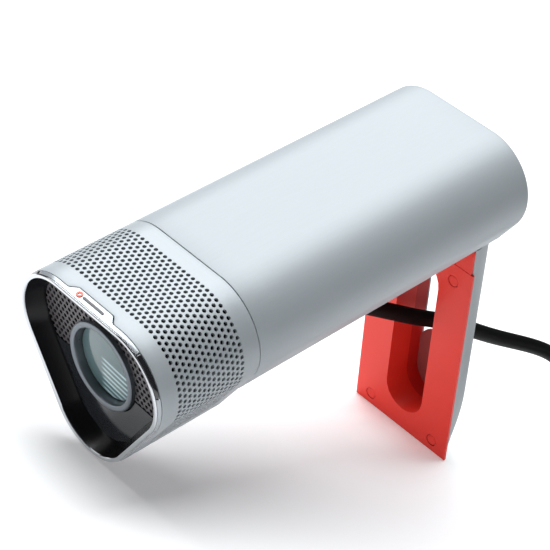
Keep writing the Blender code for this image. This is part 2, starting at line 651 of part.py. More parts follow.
def make_leg_panel():
    near, far = HINGE_Y - LEG_SEAM, HINGE_Y - LEG_REACH
    half = half_width(FACE_Z) - 0.1 * MM
    outline = [(-half, far), (half, far), (half, near), (-half, near)]
    slot = stadium(SLOT_HALF, HINGE_Y - SLOT_FAR, HINGE_Y - SLOT_NEAR)
    panel = plate_xy("leg_panel", [outline, slot], FACE_Z - PANEL_THICK, FACE_Z)
    on_leg(panel, RED)
    wall = stadium(SLOT_HALF + 1.3 * MM, HINGE_Y - SLOT_FAR - 1.3 * MM,
                   HINGE_Y - SLOT_NEAR + 1.3 * MM)
    liner = plate_xy("slot_liner", [wall, slot], FACE_Z - LINER_DEPTH, FACE_Z - 0.2 * MM)
    combine(panel, on_leg(liner), "UNION")
    plug_r = 2.4 * MM
    seats = [(-17.5, 17.2), (17.5, 17.2), (-18.5, 104.5), (18.5, 104.5)]
    for number, (x, out) in enumerate(seats, 1):
        y = HINGE_Y - out * MM
        hole = rod_z("plug_hole_%d" % number, plug_r + GAP, x * MM, y, FACE_Z - 3 * MM, FACE_Z + MM)
        combine(panel, on_leg(hole), "DIFFERENCE")
        plug = rod_z("panel_plug_%d" % number, plug_r, x * MM, y, FACE_Z - PANEL_THICK,
                     FACE_Z - 0.15 * MM)
        on_leg(plug, RED)


def make_hinge():
    """Red hinge block on the leg, steel lug on the body, and the pin through both."""
    face, end = HINGE_Z + HINGE_DROP, HINGE_Y - LEG_SEAM + GAP
    depth = HINGE_Z - 6.0 * MM
    profile = [(end, depth), (HINGE_Y + 3.0 * MM, depth), (HINGE_Y + HINGE_DROP, HINGE_Z - 3.0 * MM)]
    profile += arc(HINGE_Y, HINGE_Z, HINGE_DROP, 0.0, 90.0, 8)
    profile.append((end, face))
    block = as_mesh(flat_curve("hinge_block", [profile], 52.0 * MM))
    turn = Matrix(((0.0, 0.0, 1.0, 0.0), (1.0, 0.0, 0.0, 0.0), (0.0, 1.0, 0.0, 0.0),
                   (0.0, 0.0, 0.0, 1.0)))
    block.data.transform(turn)
    on_leg(block, RED)
    step = face - PANEL_THICK
    low = depth - MM
    inner, deep = half_width(step, SKIN) - 3 * GAP, half_width(low, SKIN) - 3 * GAP
    edge = 25.9 * MM
    envelope = [(edge, face + MM), (edge, step), (inner, step), (deep, low)]
    envelope += [(-x, z) for x, z in reversed(envelope)]
    trim = plate_xz("block_envelope", [envelope], HINGE_Y - 20 * MM, HINGE_Y + 20 * MM)
    combine(block, on_leg(trim), "INTERSECT")
    notch = box("lug_notch", (-LUG_HALF - GAP, HINGE_Y - 8.0 * MM, -0.1),
                (LUG_HALF + GAP, HINGE_Y + 20 * MM, 0.1))
    combine(block, on_leg(notch), "DIFFERENCE")
    pin_r, pin_half = 1.5 * MM, 17.0 * MM
    bore = rod_x("block_bore", pin_r + 0.05 * MM, -pin_half - GAP, pin_half + GAP, HINGE_Y, HINGE_Z)
    combine(block, on_leg(bore), "DIFFERENCE")
    on_leg(rod_x("hinge_pin", pin_r, -pin_half, pin_half, HINGE_Y, HINGE_Z), STEEL)
    lug_outline = arc(HINGE_Y, HINGE_Z, 4.2 * MM, 180.0, 360.0, 12)
    lug_outline += [(HINGE_Y + 4.2 * MM, FLAT_Z - GAP), (HINGE_Y - 4.2 * MM, FLAT_Z - GAP)]
    lug = as_mesh(flat_curve("hinge_lug", [lug_outline], 2 * (LUG_HALF - 1.4 * MM)))
    lug.data.transform(turn)
    place(lug, FRAME, STEEL)
    lug_bore = rod_x("lug_bore", pin_r + 0.05 * MM, -0.03, 0.03, HINGE_Y, HINGE_Z)
    combine(lug, place(lug_bore, FRAME), "DIFFERENCE")
    for side, sign in (("left", -1.0), ("right", 1.0)):
        inner_x, outer_x = LUG_HALF - 1.2 * MM, LUG_HALF - 0.1 * MM
        low_x, high_x = sorted((sign * inner_x, sign * outer_x))
        washer = rod_x("friction_washer_" + side, 3.8 * MM, low_x, high_x, HINGE_Y, HINGE_Z)
        washer_bore = rod_x("washer_bore_" + side, pin_r + 0.05 * MM, -0.03, 0.03, HINGE_Y, HINGE_Z)
        place(washer, FRAME, STEEL)
        combine(washer, place(washer_bore, FRAME), "DIFFERENCE")


# --- cable, coil and connector --------------------------------------------------------
def make_cable():
    place(tube("cable", smooth_route(CABLE_ROUTE, 2.4 * CABLE_R * 2), CABLE_R), None, RUBBER)
    outer, inner = COIL_TURN_R + COIL_HALF, COIL_TURN_R - COIL_HALF
    top, base = COIL_HEIGHT + COIL_LIFT, COIL_LIFT
    soft = 2.0 * MM
    profile = [(outer - soft, -top), (outer, soft - top), (outer, -base - soft), (outer - soft, -base),
               (inner + soft, -base), (inner, -base - soft), (inner, soft - top), (inner + soft, -top)]
    coil = turned("cable_coil", profile, 36)
    place(coil, None, RUBBER, (COIL_X, COIL_Y, 0.0), (0.0, 0.0, 0.0))
    wide = COIL_HALF + GAP
    out, over = wide + TIE_THICK, top + GAP + TIE_THICK
    loop = [(-out, 0.0), (out, 0.0), (out, over), (-out, over)]
    hollow = [(-wide, base - GAP), (wide, base - GAP), (wide, top + GAP), (-wide, top + GAP)]
    tie = plate_xz("coil_tie", [loop, hollow], -3.0 * MM, 3.0 * MM)
    place(tie, None, BLACK_MATT, (COIL_X, COIL_Y + COIL_TURN_R, 0.0), (0.0, 0.0, math.pi / 2.0))


def make_connector():
    """Tail, boot and a plain multi-pin plug with two thumbscrews, lying on the coil."""
    x = COIL_X - TAIL_BEND
    tail = []
    for turn in np.linspace(0.0, 1.0, 9):
        angle = -math.pi / 2.0 * (1.0 + turn)
        tail.append((COIL_X + TAIL_BEND * math.cos(angle), TAIL_Y + TAIL_BEND * math.sin(angle),
                     PLUG_Z - TAIL_DROP * (1.0 - turn)))
    tail.append((x, TAIL_Y + 4.0 * MM, PLUG_Z))
    place(tube("cable_tail", smooth_route(tail, 5.0 * MM), CABLE_R), None, RUBBER)
    boot_y = TAIL_Y + 4.0 * MM + GAP
    boot = turned("connector_boot", [(0.0, 0.0), (4.2 * MM, 0.0), (5.8 * MM, BOOT_LENGTH),
                                     (0.0, BOOT_LENGTH)], 20)
    place(boot, None, RUBBER, (x, boot_y, PLUG_Z), TURNED)
    body_y = boot_y + BOOT_LENGTH + GAP
    face_y = body_y + PLUG_LENGTH
    body = box("connector_shell", (x - PLUG_HALF, body_y, PLUG_Z - PLUG_HALF_HIGH),
               (x + PLUG_HALF, face_y, PLUG_Z + PLUG_HALF_HIGH))
    bevel(place(body, None, RUBBER), 1.5 * MM)
    insert = box("connector_insert", (x - 11 * MM, face_y + GAP, PLUG_Z - 3.2 * MM),
                 (x + 11 * MM, face_y + 7 * MM, PLUG_Z + 3.2 * MM))
    bevel(place(insert, None, STEEL), 0.8 * MM)
    for side, sign in (("left", -1.0), ("right", 1.0)):
        screw = turned("connector_screw_" + side, [(0.0, GAP), (1.5 * MM, GAP), (1.5 * MM, 5.0 * MM),
                                                   (0.0, 5.0 * MM)], 16)
        place(screw, None, STEEL, (x + sign * SCREW_OUT, face_y, PLUG_Z), TURNED)


make_rim()
make_front_sleeve()
make_bulkhead()
make_rear_shell()
make_underside()
make_gland()
make_hood()
make_baffle()
make_lens_ring()
make_lens_front()
make_shutter()
make_camera_module()
make_microphones()
make_electronics()
make_leg_shell()
make_leg_panel()
make_hinge()
make_cable()
make_connector()
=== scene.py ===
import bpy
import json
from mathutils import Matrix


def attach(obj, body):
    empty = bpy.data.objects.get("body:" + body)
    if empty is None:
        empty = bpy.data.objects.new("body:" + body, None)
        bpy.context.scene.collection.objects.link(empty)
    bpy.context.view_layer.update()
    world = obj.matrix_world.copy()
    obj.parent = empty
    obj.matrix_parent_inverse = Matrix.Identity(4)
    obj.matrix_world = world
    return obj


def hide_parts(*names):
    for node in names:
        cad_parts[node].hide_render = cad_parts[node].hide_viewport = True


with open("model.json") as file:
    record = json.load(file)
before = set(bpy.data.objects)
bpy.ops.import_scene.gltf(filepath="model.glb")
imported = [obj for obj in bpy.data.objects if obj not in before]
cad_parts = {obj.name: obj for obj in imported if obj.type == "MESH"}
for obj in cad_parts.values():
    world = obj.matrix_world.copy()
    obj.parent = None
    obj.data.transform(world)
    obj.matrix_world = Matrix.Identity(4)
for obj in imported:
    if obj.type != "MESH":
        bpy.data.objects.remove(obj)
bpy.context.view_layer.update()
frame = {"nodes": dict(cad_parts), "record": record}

import json
import math

import bmesh
import bpy
import numpy as np
from mathutils import Matrix, Vector

# Looks of a tubular conference camera: perforated sleeve, hooded lens, fold-out leg, coiled cable.
# Shapes are worked out in the body's own frame, as its part is: +X right, +Y from the rim to the
# rear, z = 0 at the flat top; to_row() then tips them as the part stands. Lengths are in metres.

MM = 0.001
JOINTS = {j["name"]: j for j in frame["record"]["behaviour"]["joints"]}

# Section of the body: the hull of three equal circles.
LOBE_R = 21.8 * MM
LOBE_X = 16.4 * MM                 # the two upper circles stand this far out
KEEL_Z = -47.1 * MM                # middle of the lower circle
FLAT_Z = -45.0 * MM                # flat underside of the rear body
BODY_LENGTH = 181.9 * MM
SEAM_Y = 45.9 * MM                 # between the sleeve and the rear shell
LENS_Z = -30.8 * MM
RING_MID_Y = 7.0 * MM              # the lens ring's joint stands here
BAFFLE_Y = 7.4 * MM                # floor of the hood
HOOD_INSET = 5.2 * MM              # the hood's wall at its floor
MESH_FOOT_Z = -35.4 * MM           # the mesh ends and the baffle begins

# How the body stands, from the lens ring's axis and place.
PITCH_COS, PITCH_SIN = JOINTS["ring_turn"]["axis"][1:]
RING_AT = JOINTS["ring_turn"]["pos_m"]
SHIFT = np.array([0.0,
                  RING_AT[1] - (RING_MID_Y * PITCH_COS - LENS_Z * PITCH_SIN),
                  RING_AT[2] - (RING_MID_Y * PITCH_SIN + LENS_Z * PITCH_COS)])
UP = Vector((0.0, -PITCH_SIN, PITCH_COS))   # out of the flat top


def to_row(points):
    """Body frame to row frame: a turn about X by the pitch, then a shift."""
    p = np.asarray(points, dtype=float)
    return np.stack([p[..., 0],
                     p[..., 1] * PITCH_COS - p[..., 2] * PITCH_SIN,
                     p[..., 1] * PITCH_SIN + p[..., 2] * PITCH_COS], axis=-1) + SHIFT


# --- camera ----------------------------------------------------------------------------------
CAMERA_AT = Vector((0.39859, -0.58576, 0.30205))
CAMERA_AIM = Vector((0.05720, -0.10648, 0.10675))
CAMERA_ROLL = math.radians(24.666)
LENS_LENGTH = 128.64


def make_camera():
    """Stands at CAMERA_AT, looks at CAMERA_AIM, rolled about the line of sight."""
    data = bpy.data.cameras.new("view")
    data.lens = LENS_LENGTH
    data.sensor_width = 36.0
    data.clip_end = 50.0
    obj = bpy.data.objects.new("view", data)
    bpy.context.scene.collection.objects.link(obj)
    look = (CAMERA_AIM - CAMERA_AT).to_track_quat("-Z", "Y").to_matrix()
    obj.matrix_world = (Matrix.Translation(CAMERA_AT)
                        @ (look @ Matrix.Rotation(CAMERA_ROLL, 3, "Z")).to_4x4())
    bpy.context.scene.camera = obj


make_camera()


# --- shared effects --------------------------------------------------------------------------
def link_math(tree, operation, a, b=None, c=None):
    node = tree.nodes.new("ShaderNodeMath")
    node.operation = operation
    for socket, value in zip(node.inputs, (a, b, c)):
        if value is None:
            continue
        if isinstance(value, (int, float)):
            socket.default_value = value
        else:
            tree.links.new(value, socket)
    return node.outputs[0]


def noise(tree, vector, scale, detail=2.0, rough=0.5):
    node = tree.nodes.new("ShaderNodeTexNoise")
    tree.links.new(vector, node.inputs["Vector"])
    if isinstance(scale, (int, float)):
        node.inputs["Scale"].default_value = scale
    else:
        tree.links.new(scale, node.inputs["Scale"])
    node.inputs["Detail"].default_value = detail
    node.inputs["Roughness"].default_value = rough
    return node.outputs["Fac"]


def start_group(name, inputs, outputs):
    group = bpy.data.node_groups.new(name, "ShaderNodeTree")
    for label, kind, value in inputs:
        socket = group.interface.new_socket(label, in_out="INPUT", socket_type=kind)
        if value is not None:
            socket.default_value = value
    for label, kind in outputs:
        group.interface.new_socket(label, in_out="OUTPUT", socket_type=kind)
    return group, group.nodes.new("NodeGroupInput").outputs, group.nodes.new("NodeGroupOutput").inputs


def make_grain_group():
    """Fine grain and broad cloudiness from two noises: a colour, a roughness and a height."""
    group, given, out = start_group(
        "surface_grain",
        [("Position", "NodeSocketVector", None), ("Stretch", "NodeSocketVector", (1.0, 1.0, 1.0)),
         ("Colour", "NodeSocketColor", None), ("Fineness", "NodeSocketFloat", 900.0),
         ("Tone", "NodeSocketFloat", 0.06), ("Roughness", "NodeSocketFloat", 0.4),
         ("Spread", "NodeSocketFloat", 0.05)],
        [("Colour", "NodeSocketColor"), ("Roughness", "NodeSocketFloat"),
         ("Height", "NodeSocketFloat")])
    scaled = group.nodes.new("ShaderNodeVectorMath")
    scaled.operation = "MULTIPLY"
    group.links.new(given["Position"], scaled.inputs[0])
    group.links.new(given["Stretch"], scaled.inputs[1])
    fine = noise(group, scaled.outputs[0], given["Fineness"], 3.0, 0.6)
    broad = noise(group, given["Position"], 24.0, 2.0, 0.5)
    wave = link_math(group, "ADD", link_math(group, "SUBTRACT", fine, 0.5),
                     link_math(group, "SUBTRACT", broad, 0.5))
    level = link_math(group, "MULTIPLY_ADD", wave, given["Tone"], 1.0)
    tint = group.nodes.new("ShaderNodeVectorMath")
    tint.operation = "SCALE"
    group.links.new(given["Colour"], tint.inputs[0])
    group.links.new(level, tint.inputs["Scale"])
    group.links.new(tint.outputs[0], out["Colour"])
    group.links.new(link_math(group, "MULTIPLY_ADD", link_math(group, "SUBTRACT", broad, 0.5),
                              given["Spread"], given["Roughness"]), out["Roughness"])
    group.links.new(fine, out["Height"])
    return group


DUST_COLOUR = (0.42, 0.41, 0.40, 1.0)


def make_dust_group():
    """Sparse soft specks: a noise cut off above a level, thinned by a broader one."""
    group, given, out = start_group(
        "fine_dust",
        [("Position", "NodeSocketVector", None), ("Colour", "NodeSocketColor", None),
         ("Roughness", "NodeSocketFloat", 0.2), ("Amount", "NodeSocketFloat", 0.2)],
        [("Colour", "NodeSocketColor"), ("Roughness", "NodeSocketFloat")])
    speck = noise(group, given["Position"], 2600.0, 2.0, 0.6)
    patch = noise(group, given["Position"], 60.0, 2.0, 0.5)
    level, steepness = 0.62, 6.0
    mask = link_math(group, "MULTIPLY", link_math(group, "SUBTRACT", speck, level), steepness)
    mask = link_math(group, "MULTIPLY", mask, patch)
    clamp = group.nodes.new("ShaderNodeClamp")
    group.links.new(mask, clamp.inputs[0])
    mask = link_math(group, "MULTIPLY", clamp.outputs[0], given["Amount"])
    mix = group.nodes.new("ShaderNodeMix")
    mix.data_type = "RGBA"
    group.links.new(mask, mix.inputs[0])
    group.links.new(given["Colour"], mix.inputs[6])
    mix.inputs[7].default_value = DUST_COLOUR
    group.links.new(mix.outputs[2], out["Colour"])
    group.links.new(link_math(group, "MULTIPLY_ADD", mask, 0.5, given["Roughness"]),
                    out["Roughness"])
    return group


GRAIN = make_grain_group()
DUST = make_dust_group()


def finish(name, colour, roughness, metallic=0.0, stretch=(1.0, 1.0, 1.0), fineness=900.0,
           tone=0.06, spread=0.05, bump=0.15, depth=0.02 * MM, dust=0.0, **fixed):
    """One material: shared grain, and dust if asked for, on a Principled shader."""
    mat = bpy.data.materials.new(name)
    mat.use_nodes = True
    tree = mat.node_tree
    shader = tree.nodes["Principled BSDF"]
    shader.inputs["Metallic"].default_value = metallic
    for label, value in fixed.items():
        shader.inputs[label.replace("_", " ")].default_value = value
    place = tree.nodes.new("ShaderNodeTexCoord").outputs["Object"]
    grain = tree.nodes.new("ShaderNodeGroup")
    grain.node_tree = GRAIN
    tree.links.new(place, grain.inputs["Position"])
    for label, value in (("Stretch", stretch), ("Colour", (*colour, 1.0)), ("Fineness", fineness),
                         ("Tone", tone), ("Roughness", roughness), ("Spread", spread)):
        grain.inputs[label].default_value = value
    colour_out, rough_out = grain.outputs["Colour"], grain.outputs["Roughness"]
    if dust > 0.0:
        specks = tree.nodes.new("ShaderNodeGroup")
        specks.node_tree = DUST
        tree.links.new(place, specks.inputs["Position"])
        tree.links.new(colour_out, specks.inputs["Colour"])
        tree.links.new(rough_out, specks.inputs["Roughness"])
        specks.inputs["Amount"].default_value = dust
        colour_out, rough_out = specks.outputs["Colour"], specks.outputs["Roughness"]
    tree.links.new(colour_out, shader.inputs["Base Color"])
    tree.links.new(rough_out, shader.inputs["Roughness"])
    if bump > 0.0:
        node = tree.nodes.new("ShaderNodeBump")
        node.inputs["Strength"].default_value = bump
        node.inputs["Distance"].default_value = depth
        tree.links.new(grain.outputs["Height"], node.inputs["Height"])
        tree.links.new(node.outputs["Normal"], shader.inputs["Normal"])
    return mat


ALONG = (1.0, 0.06, 0.06)            # grain drawn out along the body
SILVER = finish("satin_silver_paint", (0.385, 0.420, 0.442), 0.48, 0.1, ALONG, 1500.0, 0.07, 0.05,
                0.12, Specular_IOR_Level=0.35)
SLEEVE = finish("satin_sleeve_paint", (0.395, 0.430, 0.452), 0.44, 0.14, ALONG, 1500.0, 0.05, 0.05,
                0.1, Specular_IOR_Level=0.35)
CHROME = finish("bright_chrome", (0.56, 0.58, 0.60), 0.1, 1.0, fineness=400.0, tone=0.03,
                spread=0.04, bump=0.03)
TRIM = finish("polished_trim", (0.40, 0.43, 0.45), 0.26, 0.5, fineness=700.0, tone=0.04,
              spread=0.04, bump=0.05)
GLOSS = finish("piano_black", (0.009, 0.009, 0.011), 0.05, fineness=300.0, tone=0.3, spread=0.04,
               bump=0.04, dust=0.12, IOR=1.75, Coat_Weight=0.3, Coat_Roughness=0.03)
HOOD = finish("hood_black", (0.004, 0.004, 0.005), 0.24, fineness=300.0, tone=0.3, spread=0.04,
              bump=0.04, Specular_IOR_Level=0.22)
BAFFLE = finish("baffle_gloss", (0.012, 0.014, 0.018), 0.12, fineness=300.0, tone=0.3, spread=0.05,
                bump=0.05, IOR=1.6, Specular_IOR_Level=0.6)
# Painted shade and painted reflection: a brownish red that stands in for the shaded back of the slot
# with the red walls mirrored in it.
WEB_PAINTED_SHADE = finish("slot_web_painted_shade_and_reflection", (0.36, 0.09, 0.085), 0.55, fineness=1500.0, tone=0.08,
             spread=0.06, bump=0.12, Specular_IOR_Level=0.3)
MATT = finish("matt_black_plastic", (0.014, 0.014, 0.016), 0.62, fineness=1800.0, tone=0.4,
              spread=0.1, bump=0.35, dust=0.15)
MESH = finish("black_mesh_paint", (0.085, 0.078, 0.082), 0.42, 0.3, fineness=1800.0, tone=0.3,
              spread=0.1, bump=0.1)
FELT = finish("acoustic_cloth", (0.006, 0.006, 0.007), 0.9, fineness=2600.0, tone=0.6, spread=0.1,
              bump=0.6)
RING = finish("turned_grey_metal", (0.17, 0.19, 0.21), 0.38, 0.8, (1.0, 1.0, 1.0), 1600.0, 0.08,
              0.05, 0.08)
RED = finish("coral_plastic", (0.84, 0.040, 0.024), 0.4, fineness=1500.0, tone=0.05, spread=0.06,
             bump=0.12, Specular_IOR_Level=0.3)
# Painted shade: the leg face's red plastic, painted darker for the walls of the deep slot.
SLOT_RED_PAINTED_SHADE = finish("slot_liner_red_painted_shade", (0.62, 0.022, 0.016), 0.5, fineness=1500.0, tone=0.08,
               spread=0.06, bump=0.12, Specular_IOR_Level=0.3)
STEEL = finish("plain_steel", (0.55, 0.55, 0.57), 0.3, 1.0, fineness=900.0, tone=0.1, bump=0.1)
BOARD = finish("solder_mask", (0.02, 0.13, 0.06), 0.4, fineness=700.0, tone=0.3, bump=0.2)
RUBBER = finish("cable_jacket", (0.004, 0.004, 0.004), 0.5, fineness=2200.0, tone=0.4,
                spread=0.12, bump=0.3, IOR=1.12)
MARK_RED = finish("mark_coral", (0.75, 0.12, 0.06), 0.35, fineness=900.0, bump=0.05)
MARK_DARK = finish("mark_graphite", (0.05, 0.05, 0.06), 0.4, fineness=900.0, bump=0.05)


# The lighter glass colour is a painted reflection: bright stripes mixed into the window's base
# colour.
GLASS_DARK = (0.075, 0.125, 0.130, 1.0)
GLASS_PAINTED_REFLECTION = (0.42, 0.58, 0.60, 1.0)


def make_glass():
    """Coated window: teal, with soft level stripes of painted reflection fading in over its lower
    half, painted into the base colour where the coating would mirror striped light. Bars are a sine
    of the height in the lens plane, cut by two smooth ramps."""
    mat = bpy.data.materials.new("coated_glass")
    mat.use_nodes = True
    tree = mat.node_tree
    shader = tree.nodes["Principled BSDF"]
    place = tree.nodes.new("ShaderNodeTexCoord").outputs["Object"]
    middle = to_row([0.0, 12.0 * MM, LENS_Z])

    def along(direction):
        node = tree.nodes.new("ShaderNodeVectorMath")
        node.operation = "DOT_PRODUCT"
        tree.links.new(place, node.inputs[0])
        node.inputs[1].default_value = direction
        return link_math(tree, "SUBTRACT", node.outputs["Value"], float(np.dot(middle, direction)))

    def ramp(value, low, high):
        node = tree.nodes.new("ShaderNodeMapRange")
        node.interpolation_type = "SMOOTHSTEP"
        tree.links.new(value, node.inputs["Value"])
        node.inputs["From Min"].default_value = low
        node.inputs["From Max"].default_value = high
        return node.outputs["Result"]

    # Painted reflection: the bars and the mask that fades them in mix the lighter colour into the
    # base colour, with no lamp behind them.
    bar_slope, bar_pitch = math.radians(-6.0), 2.3 * MM
    across = along((1.0, 0.0, 0.0))
    height = along(tuple(UP))
    slanted = along(tuple(Vector((math.sin(-bar_slope), 0.0, 0.0)) + UP * math.cos(bar_slope)))
    painted_reflection_bars = link_math(tree, "SINE", link_math(tree, "MULTIPLY", slanted, 2.0 * math.pi / bar_pitch))
    painted_reflection_bars = ramp(painted_reflection_bars, -0.3, 0.9)
    lit = link_math(tree, "MULTIPLY", ramp(across, -4.0 * MM, -1.0 * MM),
                    ramp(height, 2.0 * MM, 0.5 * MM))
    lit = link_math(tree, "MULTIPLY", painted_reflection_bars, lit)
    lit = link_math(tree, "ADD", lit, link_math(tree, "MULTIPLY", noise(tree, place, 90.0), 0.12))
    mix = tree.nodes.new("ShaderNodeMix")
    mix.data_type = "RGBA"
    tree.links.new(lit, mix.inputs[0])
    mix.inputs[6].default_value = GLASS_DARK
    mix.inputs[7].default_value = GLASS_PAINTED_REFLECTION
    tree.links.new(mix.outputs[2], shader.inputs["Base Color"])
    shader.inputs["Roughness"].default_value = 0.1
    shader.inputs["IOR"].default_value = 1.6
    return mat


GLASS = make_glass()


# --- mesh helpers ----------------------------------------------------------------------------
def solid(name, parts, material, body, nodes=(), sharp=35.0):
    """Joins (vertices, faces) parts in the body frame into one closed mesh, in the row frame."""
    verts, faces, start = [], [], 0
    for points, cells in parts:
        points = np.asarray(points, dtype=float).reshape(-1, 3)
        verts.append(points)
        faces += [[start + i for i in cell] for cell in cells]
        start += len(points)
    mesh = bpy.data.meshes.new(name)
    mesh.from_pydata(to_row(np.concatenate(verts)).tolist(), [], faces)
    bm = bmesh.new()
    bm.from_mesh(mesh)
    bmesh.ops.remove_doubles(bm, verts=bm.verts, dist=1e-6)
    bmesh.ops.dissolve_degenerate(bm, edges=bm.edges, dist=1e-7)
    bmesh.ops.recalc_face_normals(bm, faces=bm.faces)
    bm.to_mesh(mesh)
    bm.free()
    mesh.shade_smooth()
    mesh.set_sharp_from_angle(angle=math.radians(sharp))
    mesh.materials.append(material)
    obj = bpy.data.objects.new(name, mesh)
    bpy.context.scene.collection.objects.link(obj)
    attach(obj, body)
    if nodes:
        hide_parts(*nodes)
    return obj


def grid_cells(rows, cols, wrap_rows=False, wrap_cols=False):
    """Quads of a grid numbered row by row."""
    i = np.arange(rows if wrap_rows else rows - 1)[:, None]
    j = np.arange(cols if wrap_cols else cols - 1)[None, :]
    i2, j2 = (i + 1) % rows, (j + 1) % cols
    quads = np.stack([i * cols + j, i * cols + j2, i2 * cols + j2, i2 * cols + j], axis=-1)
    return quads.reshape(-1, 4).tolist()


# Stations round the section, from the middle of the top: flat, corner, flank, keel, and back.
SIDE = math.atan2(-LOBE_X, -(KEEL_Z + LOBE_R))      # the way the right flank faces
FLANK = math.hypot(LOBE_X, KEEL_Z + LOBE_R)
CORNER = LOBE_R * (math.pi / 2 - SIDE)
WALK = np.cumsum([0.0, LOBE_X, CORNER, FLANK, LOBE_R * (math.pi + 2 * SIDE), FLANK, CORNER, LOBE_X])
CENTRE_X = [0.0, LOBE_X, LOBE_X, 0.0, 0.0, -LOBE_X, -LOBE_X, 0.0]
CENTRE_Z = [-LOBE_R, -LOBE_R, -LOBE_R, KEEL_Z, KEEL_Z, -LOBE_R, -LOBE_R, -LOBE_R]
FACING = [math.pi / 2, math.pi / 2, SIDE, SIDE, -math.pi - SIDE, -math.pi - SIDE,
          -1.5 * math.pi, -1.5 * math.pi]
ROUND = WALK[-1]                     # the section's girth


def skin(s, y, inset):
    """Point on the body: s metres round from the middle of the top, y back from the rim, inset
    in from the surface. The section's centre and facing change evenly with s."""
    s, y, inset = np.broadcast_arrays(np.asarray(s, float), y, inset)
    s = np.mod(s, ROUND)
    angle = np.interp(s, WALK, FACING)
    reach = LOBE_R - inset
    return np.stack([np.interp(s, WALK, CENTRE_X) + reach * np.cos(angle), y,
                     np.interp(s, WALK, CENTRE_Z) + reach * np.sin(angle)], axis=-1)


def down_flank(z, inset=0.0):
    """Distance round the section, from the middle of the top to a height on the right flank."""
    return WALK[2] + (-LOBE_R + (LOBE_R - inset) * math.sin(SIDE) - z) / math.cos(SIDE)


def from_middle(s):
    """Distance round the section from the middle of the top, the shorter way."""
    return np.abs(np.mod(s + ROUND / 2.0, ROUND) - ROUND / 2.0)


def slab(outline, z_first, z_last):
    """A flat (x, y) outline given thickness between two heights, both closed."""
    points = np.stack([np.column_stack([outline, np.full(len(outline), z)])
                       for z in (z_first, z_last)])
    count = len(outline)
    faces = grid_cells(2, count, False, True)
    return points, faces + [list(range(count)), list(range(count, 2 * count))[::-1]]


def capped(rows, cols):
    """Quads of a tube numbered row by row, each row a closed loop, and its two end faces."""
    return grid_cells(rows, cols, False, True) + [list(range(cols)),
                                                  list(range((rows - 1) * cols, rows * cols))[::-1]]


def hoop(profile, steps=184):
    """A closed (y, inset) profile carried round the whole section."""
    profile = np.array(profile)
    s = np.linspace(0.0, ROUND, steps, endpoint=False)
    points = skin(s[None, :], profile[:, :1], profile[:, 1:])
    return points, grid_cells(len(profile), steps, True, True)


def turned(profile, steps=96):
    """A (radius, y) profile turned about the lens axis; open if it ends on the axis."""
    profile = np.array(profile)
    a = np.linspace(0.0, 2.0 * math.pi, steps, endpoint=False)
    points = np.stack([profile[:, :1] * np.cos(a), np.repeat(profile[:, 1:], steps, 1),
                       LENS_Z + profile[:, :1] * np.sin(a)], axis=-1)
    closed = profile[0, 0] > 0.0
    return points, grid_cells(len(profile), steps, closed, True)


def rounded(corners, radius, steps=4):
    """A closed (a, b) outline with each corner replaced by a quadratic arc."""
    corners = np.array(corners, float)
    radius = np.broadcast_to(radius, len(corners))
    out = []
    for k, corner in enumerate(corners):
        if radius[k] <= 0.0:
            out.append(corner[None])
            continue
        before, after = corners[k - 1] - corner, corners[(k + 1) % len(corners)] - corner
        before, after = before / np.linalg.norm(before), after / np.linalg.norm(after)
        t = np.linspace(0.0, 1.0, steps + 1)[:, None]
        a, b = corner + before * radius[k], corner + after * radius[k]
        out.append((1 - t) ** 2 * a + 2 * t * (1 - t) * corner + t ** 2 * b)
    return np.concatenate(out)


# --- cable -----------------------------------------------------------------------------------
CABLE_R = 3.5 * MM
CABLE_ROUTE = [
    (0.0, 0.0134, 0.0643), (0.0, 0.0285, 0.0620), (0.0, 0.0494, 0.0590), (0.0, 0.0755, 0.0553),
    (0.0, 0.1034, 0.0520), (0.0, 0.1420, 0.0448), (0.0, 0.1814, 0.0385), (0.0, 0.2020, 0.0335),
    (-0.0008, 0.2220, 0.0252), (-0.0042, 0.2400, 0.0158), (-0.0071, 0.2554, 0.0094),
]
COIL_OUTER = 42.0 * MM
COIL_MIDDLE = (34.0 * MM, 283.0 * MM)
COIL_LOW, COIL_HIGH, TAIL_LOW, PLUG_Z = 4.7 * MM, 11.7 * MM, 19.0 * MM, 22.6 * MM
COIL_TURNS = 4.75
TAIL_BEND, TAIL_Y = 28.0 * MM, 269.0 * MM


def ease(t, low, high):
    t = np.clip((t - low) / (high - low), 0.0, 1.0)
    return t * t * (3.0 - 2.0 * t)


def coil_points():
    """Turns round a vertical axis, wound inwards on the floor layer and outwards on the upper
    one. The radius shifts by one diameter in a short stretch of each turn. The end climbs on top."""
    t = np.linspace(0.0, COIL_TURNS, int(COIL_TURNS * 24) + 1)
    shift = sum(ease(t, k - 0.195, k - 0.035) for k in (1, 2))
    shift = shift - ease(t, 3.30, 3.46) - ease(t, 4.30, 4.46)
    radius = COIL_OUTER - shift * 2.0 * CABLE_R
    lift = (COIL_LOW + (COIL_HIGH - COIL_LOW) * ease(t, 2.45, 2.80)
            + (TAIL_LOW - COIL_HIGH) * ease(t, 4.48, 4.75))
    angle = math.pi - 2.0 * math.pi * t
    return np.stack([COIL_MIDDLE[0] + radius * np.cos(angle),
                     COIL_MIDDLE[1] + radius * np.sin(angle), lift], axis=1)


def tail_points():
    """A quarter turn over the coil from its end, rising to the plug's height, then straight."""
    turn = np.linspace(0.0, 1.0, 7)[1:]
    angle = -math.pi / 2.0 * (1.0 + turn)
    arc = np.stack([COIL_MIDDLE[0] + TAIL_BEND * np.cos(angle), TAIL_Y + TAIL_BEND * np.sin(angle),
                    PLUG_Z - (PLUG_Z - TAIL_LOW) * (1.0 - turn)], axis=1)
    return np.vstack([arc, arc[-1] + [0.0, 4.0 * MM, 0.0]])


